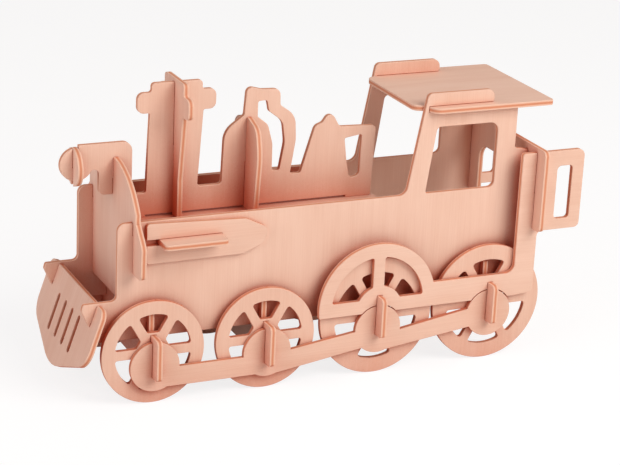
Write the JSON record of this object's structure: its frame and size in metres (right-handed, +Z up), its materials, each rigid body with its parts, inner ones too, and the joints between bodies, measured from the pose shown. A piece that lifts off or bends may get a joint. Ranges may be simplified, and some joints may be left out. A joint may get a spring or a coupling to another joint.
{
  "type": "wooden 3d jigsaw model",
  "caption": "Slot-together plywood steam locomotive puzzle with pierced wheels, coupling rods, chimney, dome, lamp, cowcatcher and a cab whose roof slides off.",
  "frame": {"origin": "middle of the base of the whole model's box, on the surface the wheels stand on", "axes": "+X forward towards the cowcatcher, +Y to the locomotive's left, +Z up"},
  "size_m": [0.2876, 0.102, 0.16],
  "materials": {
    "plywood": "bare sanded birch or lime plywood, unvarnished"
  },
  "bodies": {
    "locomotive": {"axle_board_1": "plywood", "axle_board_2": "plywood", "axle_board_3": "plywood", "axle_board_4": "plywood", "centre_profile": "plywood", "coupling_rod_left": "plywood", "coupling_rod_right": "plywood", "cowcatcher": "plywood", "cylinder_plate_left": "plywood", "cylinder_plate_right": "plywood", "deck_board": "plywood", "dome_cross": "plywood", "front_plate": "plywood", "lamp_arm": "plywood", "rear_cross_plate": "plywood", "side_panel_left": "plywood", "side_panel_right": "plywood", "wheel_1_left": "plywood", "wheel_1_right": "plywood", "wheel_2_left": "plywood", "wheel_2_right": "plywood", "wheel_3_left": "plywood", "wheel_3_right": "plywood", "wheel_4_left": "plywood", "wheel_4_right": "plywood", "wheel_frame_left": "plywood", "wheel_frame_right": "plywood"},
    "roof": {"roof_board": "plywood"},
    "chimney_crosspiece": {"chimney_cross": "plywood"},
    "lamp_front": {"lamp_disc": "plywood"}
  },
  "joints": [
    {"name": "roof_slide", "type": "slide", "parent": "locomotive", "child": "roof", "axis": [-1, 0, 0], "range_m": [0, 0.04]},
    {"name": "chimney_cross_lift", "type": "slide", "parent": "locomotive", "child": "chimney_crosspiece", "axis": [0, 0, 1], "range_m": [0, 0.04]},
    {"name": "lamp_disc_lift", "type": "slide", "parent": "locomotive", "child": "lamp_front", "axis": [0, 0, 1], "range_m": [0, 0.012]}
  ]
}
